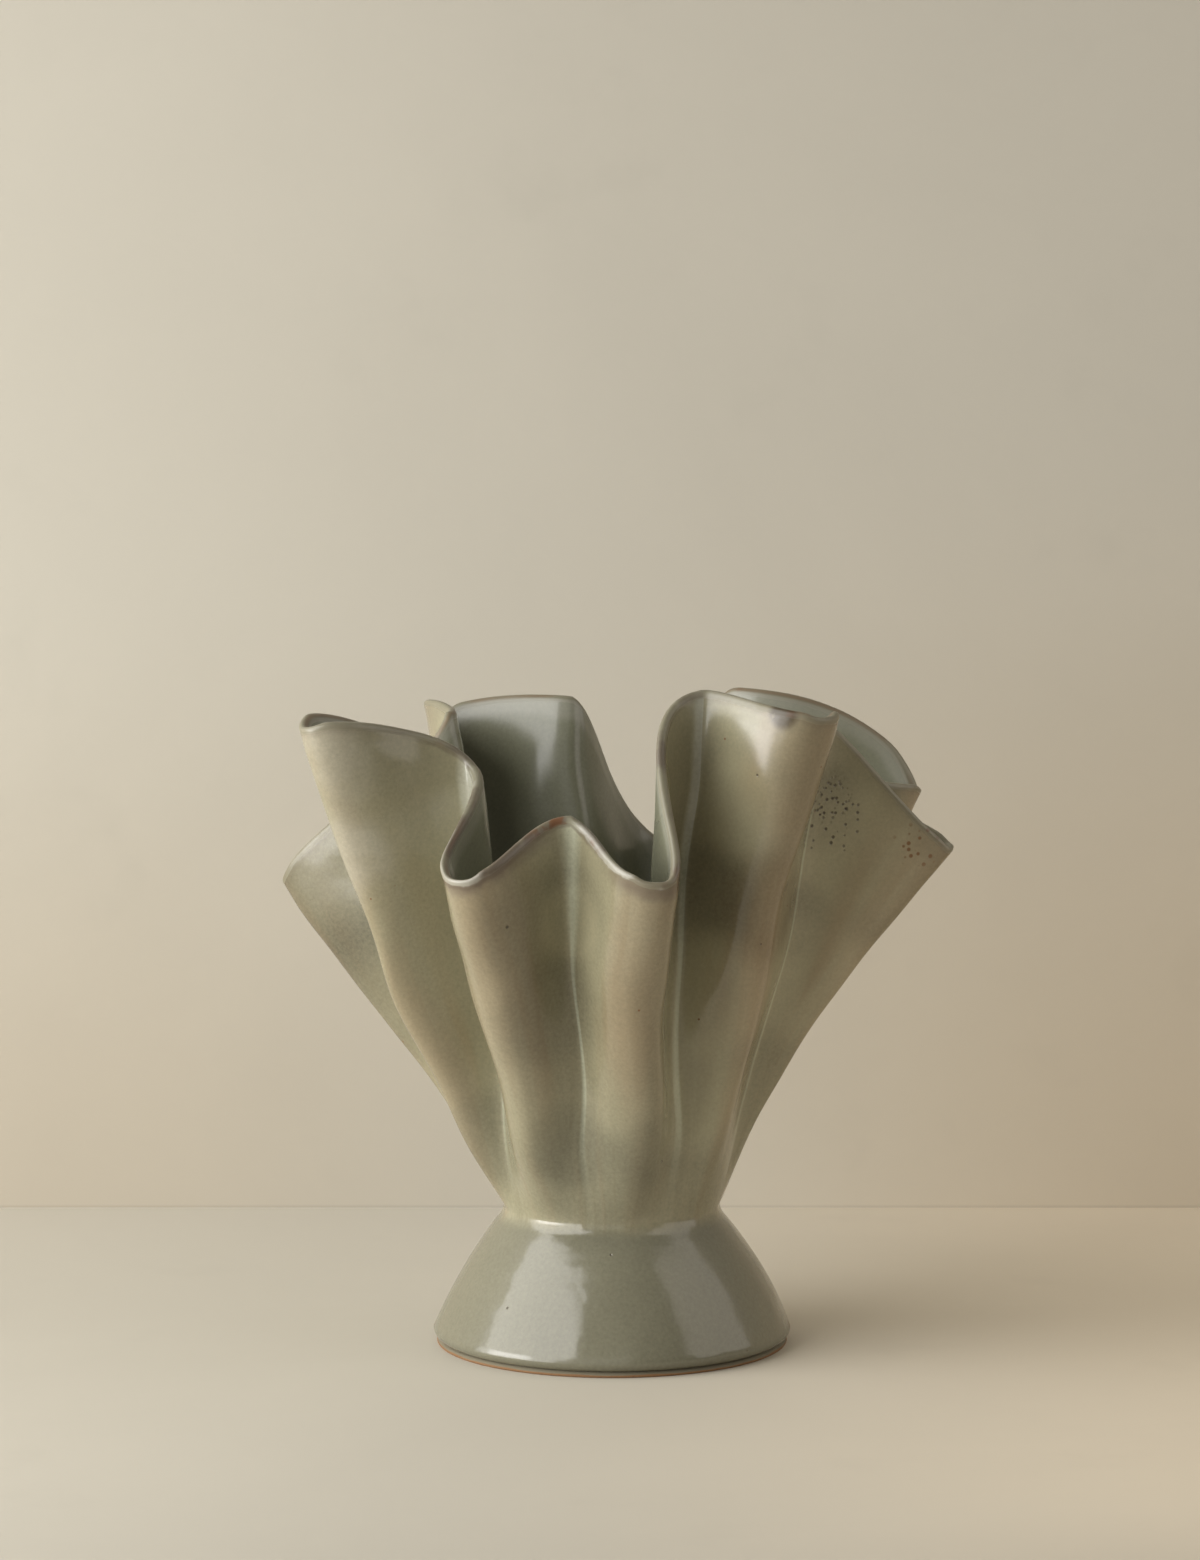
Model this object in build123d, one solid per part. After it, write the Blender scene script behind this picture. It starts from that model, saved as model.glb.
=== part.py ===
from build123d import *
from dataclasses import dataclass
from math import cos, radians, sin, tan
import os

# Fan vase: nine bent clay slabs, joined down their valleys, on a hollow flared foot.
# Millimetres, Z up, the front towards -Y, origin at the centre of the flat underside.

# Fan of bent slabs
WALL = 5.0
WAIST_RADIUS = 47.0
FAN_REACH = 106.0
FAN_HEIGHT = 240.0
FOLD_ROUND = 30.0

# Waist coil
COIL_HEIGHT = 8.0
COIL_HOLLOW = 1.0

# Foot
FOOT_RADIUS = 82.0
FOOT_TOP_RADIUS = 53.5
FOOT_HEIGHT = 53.5
FOOT_WALL = 6.0
FOOT_BULGE = 3.0
FOOT_EDGE_ROUND = 4.0

# Base
RING_HEIGHT = 2.5
RING_SETBACK = 1.5
RING_EDGE_ROUND = 0.8
FLOOR_THICKNESS = 8.5

HALF_WALL = WALL / 2
FOOT_TOP = RING_HEIGHT + FOOT_HEIGHT
WAIST_LEVEL = FOOT_TOP + COIL_HEIGHT
FOOT_SHOULDER = RING_HEIGHT + FOOT_EDGE_ROUND
FOOT_SLOPE = (FOOT_RADIUS - FOOT_TOP_RADIUS) / (FOOT_TOP - FOOT_SHOULDER)
FLOOR_RADIUS = FOOT_RADIUS - FOOT_WALL - FOOT_SLOPE * FLOOR_THICKNESS
FOOT_NECK_RADIUS = FOOT_TOP_RADIUS - FOOT_WALL


def polar(length, bearing):
    """Level vector at a bearing in degrees, counted from +X towards +Y."""
    return Vector(length * cos(radians(bearing)), length * sin(radians(bearing)), 0)


def profile_point(radius, level):
    """Point of a turned profile."""
    return Vector(radius, 0, level)


@dataclass(frozen=True)
class Fold:
    """A crest of the fan, from its bearing on the waist to its own point on the rim.

    reach_share is of FAN_REACH, height_share and the rise shares are of FAN_HEIGHT, the round shares
    are of FOLD_ROUND and bow_share is of the fold's own reach. Round and rise are given apart for the
    stretch before the fold and the stretch after it: round is how far the fold's bend runs on, and
    rise is how steeply the rim climbs there. The lean turns the fold's mouth away from its bearing.
    """

    waist_bearing: float
    rim_bearing: float
    reach_share: float
    height_share: float
    round_before_share: float
    round_after_share: float
    rise_before_share: float = 0
    rise_after_share: float = 0
    bow_share: float = 0
    lean: float = 0
    pinch_share: float = 0

    @property
    def reach(self):
        return FAN_REACH * self.reach_share

    @property
    def height(self):
        return FAN_HEIGHT * self.height_share

    def facing(self, climb):
        """Bearing that the outside of the fold looks to, at a climb from 0 (waist) to 1 (rim)."""
        turn = self.rim_bearing - self.waist_bearing + self.lean
        return self.waist_bearing + turn * climb

    def place(self, climb):
        """Middle of the wall on the fold, as a level vector."""
        start = polar(WAIST_RADIUS, self.waist_bearing)
        end = polar(WAIST_RADIUS + self.reach, self.rim_bearing)
        bow = polar(self.reach * self.bow_share, self.facing(1))
        return start + (end - start) * climb + bow * (climb * (1 - climb))

    def handle(self, climb, waist_handle, round_share):
        """Level vector along the fold's curve: round as the waist below, round as the fold above."""
        length = waist_handle + (FOLD_ROUND * round_share - waist_handle) * climb
        pinch = 1 - self.pinch_share * (4 * climb * (1 - climb))
        return polar(length * pinch, self.facing(climb) + 90)

    def side(self, climb):
        """Half the wall, square to the fold's curve, kept in the plane that the fold climbs in."""
        swing = self.facing(1) - self.facing(climb)
        return polar(HALF_WALL / cos(radians(swing)), self.facing(1))


@dataclass(frozen=True)
class Valley(Fold):
    """A fold that bends inwards, pinched together halfway up, where two slabs are luted."""

    pinch_share: float = 0.2


# Each pleat's crest, then the valley beyond it, in the order of their bearings.
PLEAT_SHARES = {
    "pleat_right": (
        Fold(-6, 0, 1.00, 0.70, 0.47, 0.47, rise_before_share=0.12, bow_share=-0.34),
        Valley(8, 12, 0.54, 0.81, 0.40, 0.40, bow_share=-0.10),
    ),
    "pleat_back_right": (
        Fold(25, 23, 0.99, 0.78, 0.75, 0.57, rise_after_share=0.42, bow_share=-0.10),
        Valley(51, 51, 0.43, 0.96, 0.80, 0.80, bow_share=-0.10, pinch_share=0.5),
    ),
    "pleat_back": (
        Fold(78, 77, 0.71, 0.65, 1.00, 1.00, bow_share=-0.10),
        Valley(105, 102, 0.38, 0.94, 0.50, 0.50, 0.10, 0.04, bow_share=-0.10, pinch_share=0.3),
    ),
    "pleat_back_left": (
        Fold(127, 129, 0.83, 0.905, 0.70, 0.60, -0.08, 0.16),
        Valley(146, 147, 0.42, 0.925, 0.47, 0.47, rise_after_share=-0.30, bow_share=-0.10),
    ),
    "pleat_left": (
        Fold(163, 165, 1.03, 0.61, 0.47, 0.47, rise_after_share=0.12),
        Valley(178, 184, 0.44, 0.88, 0.53, 0.53, 0.10, 0.10),
    ),
    "pleat_front_left": (
        Fold(192, 203, 0.96, 0.945, 0.57, 0.80, rise_after_share=0.12, bow_share=0.30),
        Valley(210, 213, 0.26, 0.86, 0.58, 0.53, -0.20, -0.14),
    ),
    "pleat_front_mid_left": (
        Fold(234, 238, 0.76, 0.69, 0.83, 0.73, bow_share=-0.10),
        Valley(258, 258, 0.39, 0.79, 0.67, 0.60, 0, -0.13, bow_share=-0.05, pinch_share=0.5),
    ),
    "pleat_front_mid_right": (
        Fold(279, 281, 0.65, 0.69, 0.83, 0.83),
        Valley(300, 312, 0.10, 1.00, 1.50, 0.45, rise_before_share=0.05, lean=-20, pinch_share=0.3),
    ),
    "pleat_front_right": (
        Fold(328, 324, 0.64, 0.965, 0.95, 0.47),
        Valley(341, 344, 0.48, 0.93, 0.47, 0.47, -0.13, 0.04, bow_share=0.40, pinch_share=0.4),
    ),
}
SPAN_SHARES = (0.08, 0.20, 0.35, 0.50, 0.65, 0.80, 0.92)
CLIMB_SHARES = (0, 0.15, 0.35, 0.55, 0.78, 1)


def slab_outline(places, sides, height):
    """Closed outline across a slab: up its outside, over the round lip and down its inside."""
    rises = [Vector(0, 0, WAIST_LEVEL + (height - HALF_WALL) * climb) for climb in CLIMB_SHARES]
    middle = [place + rise for place, rise in zip(places, rises)]
    outer = [point + side for point, side in zip(middle, sides)]
    inner = [point - side for point, side in zip(middle, sides)]
    crown = middle[-1] + (middle[-1] - middle[-2]).normalized() * HALF_WALL
    return Wire(
        [
            Edge.make_spline(outer),
            Edge.make_three_point_arc(outer[-1], crown, inner[-1]),
            Edge.make_spline(inner[::-1]),
            Edge.make_line(inner[0], outer[0]),
        ]
    )


def fold_outline(fold):
    """Outline of the wall on a fold, flat in the plane that the fold climbs in."""
    places = [fold.place(climb) for climb in CLIMB_SHARES]
    sides = [fold.side(climb) for climb in CLIMB_SHARES]
    return slab_outline(places, sides, fold.height)


def span_outline(fold, next_fold, share):
    """Outline of the wall at a share of the curved way from one fold to the next."""
    rest = 1 - share
    waist_angle = radians((next_fold.waist_bearing - fold.waist_bearing) % 360)
    waist_handle = 4 / 3 * tan(waist_angle / 4) * WAIST_RADIUS
    places = []
    sides = []
    for climb in CLIMB_SHARES:
        start = fold.place(climb)
        leave = start + fold.handle(climb, waist_handle, fold.round_after_share)
        end = next_fold.place(climb)
        arrive = end - next_fold.handle(climb, waist_handle, next_fold.round_before_share)
        ends = start * rest**3 + end * share**3
        places.append(ends + (leave * rest + arrive * share) * (3 * share * rest))
        way = (leave - start) * rest**2 + (arrive - leave) * (2 * share * rest) + (end - arrive) * share**2
        sides.append(way.normalized().cross(Vector(0, 0, 1)) * HALF_WALL)
    eased = share**2 * (3 - 2 * share)
    height = fold.height + (next_fold.height - fold.height) * eased
    rise_share = fold.rise_after_share * rest - next_fold.rise_before_share * share
    height += FAN_HEIGHT * rise_share * (share * rest)
    return slab_outline(places, sides, height)


def pleat(valley, crest, next_valley):
    """One bent slab, lofted from its seam in one valley over the crest to its seam in the next."""
    outlines = [fold_outline(valley)]
    for fold, next_fold in ((valley, crest), (crest, next_valley)):
        outlines += [span_outline(fold, next_fold, share) for share in SPAN_SHARES]
        outlines.append(fold_outline(next_fold))
    return Solid.make_loft(outlines)


def turned(*edges):
    """Ring or disc turned about Z from the edges of its profile."""
    return revolve(make_face(edges), Axis.Z)


def bowed_edge(start, end, bulge):
    """Profile edge that stands out from its chord by the bulge, or hollows if it is negative."""
    middle = (start + end) / 2
    return Edge.make_three_point_arc(start, middle + Vector(bulge, 0, 0), end)


def waist_coil():
    """Coil between foot and fan: hollowed outside into the crease, smoothed to a bead inside."""
    foot_edge = profile_point(FOOT_TOP_RADIUS, FOOT_TOP)
    fan_edge = profile_point(WAIST_RADIUS + HALF_WALL, WAIST_LEVEL)
    fan_bore = profile_point(WAIST_RADIUS - HALF_WALL, WAIST_LEVEL)
    foot_bore = profile_point(FOOT_NECK_RADIUS, FOOT_TOP)
    return turned(
        bowed_edge(foot_edge, fan_edge, -COIL_HOLLOW),
        Edge.make_line(fan_edge, fan_bore),
        bowed_edge(fan_bore, foot_bore, -COIL_HOLLOW),
        Edge.make_line(foot_bore, foot_edge),
    )


def foot_cone():
    """Flared shell with a rounded lower edge and a seat for the floor."""
    shoulder = profile_point(FOOT_RADIUS, FOOT_SHOULDER)
    top_edge = profile_point(FOOT_TOP_RADIUS, FOOT_TOP)
    neck = profile_point(FOOT_NECK_RADIUS, FOOT_TOP)
    floor_edge = profile_point(FLOOR_RADIUS, FLOOR_THICKNESS)
    seat = profile_point(FLOOR_RADIUS, RING_HEIGHT)
    low_edge = profile_point(FOOT_RADIUS - FOOT_EDGE_ROUND, RING_HEIGHT)
    round_tangent = Vector(1, 0, 0)
    return turned(
        bowed_edge(shoulder, top_edge, FOOT_BULGE),
        Edge.make_line(top_edge, neck),
        bowed_edge(neck, floor_edge, FOOT_BULGE),
        Edge.make_line(floor_edge, seat),
        Edge.make_line(seat, low_edge),
        Edge.make_tangent_arc(low_edge, round_tangent, shoulder),
    )


def base_slab():
    """Flat floor disc, set into the foot."""
    return Pos(0, 0, FLOOR_THICKNESS / 2) * Cylinder(FLOOR_RADIUS, FLOOR_THICKNESS)


def foot_ring():
    """Bare ring round the floor, under the foot's wall."""
    radius = FOOT_RADIUS - RING_SETBACK
    ring = Cylinder(radius, RING_HEIGHT) - Cylinder(FLOOR_RADIUS, RING_HEIGHT)
    worn_edge = ring.edges().filter_by(GeomType.CIRCLE).group_by(Axis.Z)[0].sort_by(SortBy.RADIUS)[-1]
    return Pos(0, 0, RING_HEIGHT / 2) * fillet(worn_edge, RING_EDGE_ROUND)


def build():
    """All pieces of the vase by name."""
    pieces = {
        "foot_ring": foot_ring(),
        "base_slab": base_slab(),
        "foot_cone": foot_cone(),
        "waist_coil": waist_coil(),
    }
    names = list(PLEAT_SHARES)
    for name, name_before in zip(names, names[-1:] + names[:-1]):
        crest, next_valley = PLEAT_SHARES[name]
        valley = PLEAT_SHARES[name_before][1]
        pieces[name] = pleat(valley, crest, next_valley)
    return pieces


os.makedirs("parts", exist_ok=True)
for node, shape in build().items():
    export_step(shape, f"parts/{node}.step")
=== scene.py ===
import math
from dataclasses import dataclass
from typing import NamedTuple

import bmesh
import bpy
from mathutils import Color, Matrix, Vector, noise


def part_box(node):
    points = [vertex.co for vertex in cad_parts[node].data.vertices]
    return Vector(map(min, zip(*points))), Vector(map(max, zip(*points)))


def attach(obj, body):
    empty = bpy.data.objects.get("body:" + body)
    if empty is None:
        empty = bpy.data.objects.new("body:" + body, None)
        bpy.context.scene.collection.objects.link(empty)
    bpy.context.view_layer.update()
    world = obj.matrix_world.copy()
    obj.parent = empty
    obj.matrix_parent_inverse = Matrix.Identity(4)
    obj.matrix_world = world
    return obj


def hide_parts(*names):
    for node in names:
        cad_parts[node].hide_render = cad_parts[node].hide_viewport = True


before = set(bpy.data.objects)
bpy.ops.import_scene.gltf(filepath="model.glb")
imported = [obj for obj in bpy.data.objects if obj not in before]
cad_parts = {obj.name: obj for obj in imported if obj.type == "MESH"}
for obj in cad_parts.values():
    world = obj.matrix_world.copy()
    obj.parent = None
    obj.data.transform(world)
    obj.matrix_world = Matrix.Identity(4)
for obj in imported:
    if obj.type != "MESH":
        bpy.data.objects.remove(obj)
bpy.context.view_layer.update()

bl_info = {
    "name": "Fan vase",
    "version": (1, 0, 0),
    "blender": (4, 5, 0),
    "location": "View3D > Sidebar > Fan vase",
    "description": "Glazed fan vase: a pleated wall with a waving lip on a hollow flared foot",
    "category": "Add Mesh",
}

FOOT_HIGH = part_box("foot_cone")[1]
COIL_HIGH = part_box("waist_coil")[1]
RING_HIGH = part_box("foot_ring")[1]
FLOOR_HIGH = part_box("base_slab")[1]
PLEATS = sorted(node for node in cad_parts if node.startswith("pleat_"))


@dataclass(frozen=True)
class Fold:
    """A crest of the fan, with its bearings in degrees and its shares of the fan's sizes."""

    waist_bearing: float
    rim_bearing: float
    reach_share: float
    height_share: float
    round_before_share: float
    round_after_share: float
    rise_before_share: float = 0
    rise_after_share: float = 0
    bow_share: float = 0
    lean: float = 0
    pinch_share: float = 0


@dataclass(frozen=True)
class Valley(Fold):
    """A fold that bends inwards, pinched together halfway up."""

    pinch_share: float = 0.2


# Crests and valleys in turn, in the order of their bearings, as in the solids, with the lip
# trimmed.
FOLD_SHARES = (
    Fold(-6, 0, 1.00, 0.70, 0.47, 0.47, rise_before_share=0.12, bow_share=-0.34),
    Valley(8, 12, 0.54, 0.81, 0.40, 0.40, bow_share=-0.10),
    Fold(25, 23, 0.99, 0.78, 0.75, 0.57, rise_after_share=0.42, bow_share=-0.10),
    Valley(51, 51, 0.43, 0.96, 0.80, 0.80, bow_share=-0.10, pinch_share=0.5),
    Fold(78, 77, 0.71, 0.65, 1.00, 1.00, bow_share=-0.10),
    Valley(105, 102, 0.38, 0.94, 0.50, 0.50, 0.10, 0.04, bow_share=-0.10, pinch_share=0.3),
    Fold(127, 129, 0.83, 0.905, 0.70, 0.60, -0.08, 0.16),
    Valley(146, 147, 0.42, 0.925, 0.47, 0.47, rise_after_share=-0.30, bow_share=-0.10),
    Fold(163, 165, 1.03, 0.61, 0.47, 0.47, rise_after_share=0.12),
    Valley(178, 184, 0.44, 0.88, 0.53, 0.53, 0.10, 0.10),
    Fold(192, 203, 0.96, 0.945, 0.63, 0.85, -0.12, 0.03, bow_share=0.30),
    Valley(210, 213, 0.26, 0.86, 0.68, 0.58, -0.24, -0.14),
    Fold(234, 238, 0.76, 0.69, 0.83, 0.73, bow_share=-0.10),
    Valley(258, 258, 0.39, 0.79, 0.67, 0.60, 0, -0.13, bow_share=-0.05, pinch_share=0.5),
    Fold(279, 281, 0.65, 0.69, 0.83, 0.83),
    Valley(300, 312, 0.10, 1.00, 1.50, 0.45, rise_before_share=0.05, lean=-20, pinch_share=0.3),
    Fold(328, 324, 0.64, 0.965, 0.95, 0.47),
    Valley(341, 344, 0.48, 0.93, 0.47, 0.58, -0.03, 0.04, bow_share=0.40, pinch_share=0.4),
)

# Places of some folds in the list above.
LEFT = 8
FRONT_LEFT = 10
FRONT_LEFT_VALLEY = 11
FRONT_MID_LEFT = 12
MIDDLE_VALLEY = 13
FRONT_MID_RIGHT = 14
FRONT_RIGHT_VALLEY = 15
FRONT_RIGHT = 16
RIGHT_VALLEY = 17

# Bearings of the foot's flatter side and of the chips in its lower edge.
FLAT_SIDE_BEARING = 225
NICK_BEARINGS = (179, -3)

# Hand work: waves per metre of the wall's bends and bumps, how much of a bend goes up or down,
# and the depth below the lip over which the small bends fade.
BEND_SEED = 349
BEND_WAVES = 11
SMALL_BEND_WAVES = Vector((22, 22, 17))
BUMP_WAVES = 28
UPRIGHT_BEND_SHARE = 0.3
SMALL_BEND_FADE = 0.05

# The wall's thickness at the lip, the climb that the lip takes its direction from, how near to a
# crest its corner starts, how far the rings of the skin crowd towards the lip, and how far in
# under the foot's rounded edge the bare ring ends.
LIP_WALL_SHARE = 0.8
LIP_AIM_CLIMB = 0.95
LIP_CORNER_START = 0.8
CLIMB_CROWDING = 1.15
GLAZE_EDGE_SHARE = 0.8

COLUMNS_PER_SPAN = 28
CLIMB_STEPS_OUTSIDE = 46
CLIMB_STEPS_INSIDE = 36
LIP_STEPS = 10
FOOT_STEPS = 18
CREASE_STEPS = 5
RING_SEGMENTS = 240
FLOOR_SEGMENTS = 160
FLOOR_STEPS = 36

# Turning marks under the floor and the dished waves on it: depth and spacing.
MARK_DEPTH = 0.0002
MARK_SPACING = 0.0009
DISH_DEPTH = 0.0006
DISH_SPACING = 0.004

# Stage: the backdrop's place, the half width of the floor, the camera and the room's light.
BACKDROP_DEPTH = 0.314
STAGE_REACH = 3
CAMERA_PLACE = (-0.0055, -2.3, 0.5099)
CAMERA_TILT = 83.7755
CAMERA_LENS = 117.306
SENSOR_WIDTH = 36
ROOM_TINT = (0.95, 0.93, 0.90, 1)
ROOM_STRENGTH = 0.07

# Lamps: name, place, the point that each faces, width, height, power and tint.
LAMPS = (
    ("soft_box_left", (-1.55, -0.75, 1.0), (0, 0, 0.6), 2.2, 2.0, 61, (1.0, 0.99, 0.97)),
    ("soft_box_right", (1.6, -0.3, 0.9), (0.3, 0.3, 0.1), 1.5, 1.6, 10, (1.0, 0.93, 0.84)),
    ("soft_box_front", (-0.6, -3.0, 1.0), (0, 0, 0.3), 2.4, 2.0, 7, (1.0, 0.97, 0.93)),
    ("soft_card_left", (-0.85, -0.35, 0.16), (0, 0, 0.2), 0.5, 0.3, 2.8, (1.0, 0.99, 0.97)),
)

GLAZE_IOR = 1.55
SHARP_ANGLE = 60
MERGE_DISTANCE = 1e-6


def length(name, description, default):
    """A length in metres that a user can change."""
    return bpy.props.FloatProperty(
        name=name, description=description, default=default, min=0, unit="LENGTH", precision=4
    )


def colour(name, description, default):
    """A colour, given as it shows on a screen."""
    return bpy.props.FloatVectorProperty(
        name=name, description=description, default=default, min=0, max=1, subtype="COLOR_GAMMA"
    )


class FanVaseSizes(bpy.types.PropertyGroup):
    """Sizes of the vase."""

    wall: length("Wall", "Thickness of the pleated wall", 0.005)
    waist_radius: length("Waist radius", "Radius of the waist to the middle of the wall", 0.047)
    waist_level: length("Waist level", "Height at which the pleats start", COIL_HIGH.z)
    fan_reach: length("Fan reach", "How far the longest pleat stands out beyond the waist", 0.106)
    fan_height: length("Fan height", "Height of the tallest pleat above the waist", 0.240)
    fold_round: length("Fold round", "Roundness of the softest fold", 0.030)
    lip_corner: length("Lip corner", "How far the lip is rounded down at the tip of a pleat", 0.002)
    lip_taper: length("Lip taper", "Depth below the lip over which the wall thins", 0.012)
    foot_radius: length("Foot radius", "Radius of the foot at its lower edge", FOOT_HIGH.x)
    foot_top_radius: length("Foot top radius", "Radius of the foot below the crease", 0.0535)
    foot_top: length("Foot top", "Height of the foot's upper edge", FOOT_HIGH.z)
    foot_wall: length("Foot wall", "Thickness of the foot's wall", 0.006)
    foot_bulge: length("Foot bulge", "How far the foot's side bows out", 0.0030)
    flat_bulge: length("Flat bulge", "How far it bows out on its flatter side", 0.0014)
    foot_edge_round: length("Foot edge round", "Rounding of the foot's lower edge", 0.0040)
    crease_hollow: length("Crease hollow", "Depth of the hollow between foot and pleats", 0.001)
    ring_radius: length("Ring radius", "Outer radius of the bare ring", RING_HIGH.x)
    ring_height: length("Ring height", "Height of the bare ring", RING_HIGH.z)
    ring_wear: length("Ring wear", "Rounding of the ring's worn edge", 0.0008)
    floor_radius: length("Floor radius", "Radius of the floor disc", FLOOR_HIGH.x)
    floor_level: length("Floor level", "Height of the floor's upper face", FLOOR_HIGH.z)
    bending: length("Bending", "How far the hand-built wall bends out of its line", 0.0040)
    unevenness: length("Unevenness", "How far the surface of the wall strays", 0.0010)


class FanVaseColours(bpy.types.PropertyGroup):
    """Colours of the vase and of its stage."""

    olive: colour("Olive", "Glaze on the flanks of the pleats", (0.53, 0.51, 0.415))
    thin: colour("Thin glaze", "Glaze where it is thin, on the crests", (0.545, 0.507, 0.415))
    brown: colour("Brown runs", "Brown runs in the thin glaze", (0.45, 0.385, 0.285))
    pooled: colour("Pooled glaze", "Glaze where it pools, in the valleys", (0.64, 0.645, 0.56))
    foot: colour("Foot", "Glaze on the foot", (0.438, 0.428, 0.36))
    inside: colour("Inside", "Glaze inside the vase", (0.465, 0.465, 0.39))
    lip: colour("Lip", "Glaze on the round of the lip", (0.48, 0.46, 0.385))
    # Pale broken glaze along the lip; also the colour of the painted highlights and painted
    # reflections.
    pale: colour("Pale lip", "Broken glaze along the lip", (0.70, 0.69, 0.65))
    mauve: colour("Mauve", "Dark glaze just below the lip", (0.36, 0.31, 0.27))
    rust: colour("Rust", "Iron that shows through on the lip", (0.43, 0.27, 0.15))
    pinhole: colour("Pinhole", "Pinholes and iron specks", (0.22, 0.17, 0.10))
    clay: colour("Clay", "Bare fired clay", (0.50, 0.37, 0.24))
    plaster: colour("Plaster", "Floor and backdrop", (0.71, 0.69, 0.64))
    # Painted shade: darker, sandier plaster low on the left.
    painted_shade_plaster: colour("Sandy plaster", "Backdrop low on the left", (0.685, 0.645, 0.575))
    # Painted light: brighter, warmer plaster low on the right.
    painted_light_plaster: colour("Warm plaster", "Floor and backdrop low on the right", (0.805, 0.76, 0.68))


class Column(NamedTuple):
    """One upright line of the wall, at a share of the way from one fold to the next."""

    fold: Fold
    next_fold: Fold
    share: float
    crest: float
    turn: float


def wall_columns():
    """All upright lines of the wall, with 1 on a crest and -1 in a valley."""
    columns = []
    for number, fold in enumerate(FOLD_SHARES):
        next_fold = FOLD_SHARES[(number + 1) % len(FOLD_SHARES)]
        sign = 1 if number % 2 == 0 else -1
        for step in range(COLUMNS_PER_SPAN):
            share = step / COLUMNS_PER_SPAN
            turn = math.tau * (number + share) / len(FOLD_SHARES)
            columns.append(Column(fold, next_fold, share, sign * math.cos(math.pi * share), turn))
    return columns


def polar(radius, bearing):
    """Level vector at a bearing in degrees, counted from +X towards +Y."""
    angle = math.radians(bearing)
    return Vector((radius * math.cos(angle), radius * math.sin(angle), 0))


def eased(share):
    """Share that starts and ends gently."""
    share = min(max(share, 0), 1)
    return share**2 * (3 - 2 * share)


def fold_facing(fold, climb):
    """Bearing that the outside of the fold looks to, at a climb from 0 (waist) to 1 (rim)."""
    return fold.waist_bearing + (fold.rim_bearing - fold.waist_bearing + fold.lean) * climb


def fold_place(sizes, fold, climb):
    """Middle of the wall on the fold, as a level vector."""
    reach = sizes.fan_reach * fold.reach_share
    start = polar(sizes.waist_radius, fold.waist_bearing)
    end = polar(sizes.waist_radius + reach, fold.rim_bearing)
    bow = polar(reach * fold.bow_share, fold_facing(fold, 1))
    return start.lerp(end, climb) + bow * (climb * (1 - climb))


def fold_handle(sizes, fold, climb, waist_handle, round_share):
    """Level vector along the fold's curve: round as the waist below, round as the fold above."""
    reach = waist_handle + (sizes.fold_round * round_share - waist_handle) * climb
    pinch = 1 - fold.pinch_share * 4 * climb * (1 - climb)
    return polar(reach * pinch, fold_facing(fold, climb) + 90)


def wall_line(sizes, column, climb):
    """Middle of the wall and its level outward direction, at a climb on a column."""
    fold, next_fold, share = column.fold, column.next_fold, column.share
    rest = 1 - share
    waist_angle = math.radians((next_fold.waist_bearing - fold.waist_bearing) % 360)
    waist_handle = 4 / 3 * math.tan(waist_angle / 4) * sizes.waist_radius
    start = fold_place(sizes, fold, climb)
    leave = start + fold_handle(sizes, fold, climb, waist_handle, fold.round_after_share)
    end = fold_place(sizes, next_fold, climb)
    arrive = end - fold_handle(sizes, next_fold, climb, waist_handle, next_fold.round_before_share)
    middle = start * rest**3 + end * share**3 + (leave * rest + arrive * share) * (3 * share * rest)
    way = (leave - start) * rest**2 + (arrive - leave) * (2 * share * rest)
    way += (end - arrive) * share**2
    return middle, way.normalized().cross(Vector((0, 0, 1)))


def rim_rise(sizes, column):
    """Height of the lip above the waist on a column."""
    fold, next_fold, share = column.fold, column.next_fold, column.share
    height = fold.height_share + (next_fold.height_share - fold.height_share) * eased(share)
    rises = fold.rise_after_share * (1 - share) - next_fold.rise_before_share * share
    height += rises * share * (1 - share)
    corner = eased((column.crest - LIP_CORNER_START) / (1 - LIP_CORNER_START))
    return height * sizes.fan_height - sizes.lip_corner * corner


def bowed(start, end, bulge, steps):
    """Points of a turned profile from start towards end, bowed out by the bulge, without the end."""
    points = []
    for step in range(steps):
        share = step / steps
        radius = start[0] + (end[0] - start[0]) * share + bulge * 4 * share * (1 - share)
        points.append((radius, start[1] + (end[1] - start[1]) * share))
    return points


def foot_outside(sizes, bulge):
    """Turned profile of the foot's outside, from its lower edge to where the pleats start."""
    edge = sizes.foot_edge_round
    points = []
    for step in range(CREASE_STEPS):
        angle = math.radians(90) * step / CREASE_STEPS
        points.append(
            (
                sizes.foot_radius - edge + edge * math.sin(angle),
                sizes.ring_height + edge - edge * math.cos(angle),
            )
        )
    shoulder = (sizes.foot_radius, sizes.ring_height + edge)
    top = (sizes.foot_top_radius, sizes.foot_top)
    waist = (sizes.waist_radius + sizes.wall / 2, sizes.waist_level)
    points += bowed(shoulder, top, bulge, FOOT_STEPS)
    return points + bowed(top, waist, -sizes.crease_hollow, CREASE_STEPS)


def foot_inside(sizes):
    """Turned profile of the foot's inside, from the waist down to the floor and its seat."""
    bore = (sizes.waist_radius - sizes.wall / 2, sizes.waist_level)
    neck = (sizes.foot_top_radius - sizes.foot_wall, sizes.foot_top)
    floor_edge = (sizes.floor_radius, sizes.floor_level)
    seat = (sizes.floor_radius, sizes.ring_height)
    points = bowed(bore, neck, -sizes.crease_hollow, CREASE_STEPS)
    points += bowed(neck, floor_edge, sizes.foot_bulge, FOOT_STEPS)
    return points + [floor_edge, seat]


class Station(NamedTuple):
    """One point of the wall's skin and what the glaze needs to know there."""

    place: Vector
    inside: float
    lip: float
    valley: float


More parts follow.
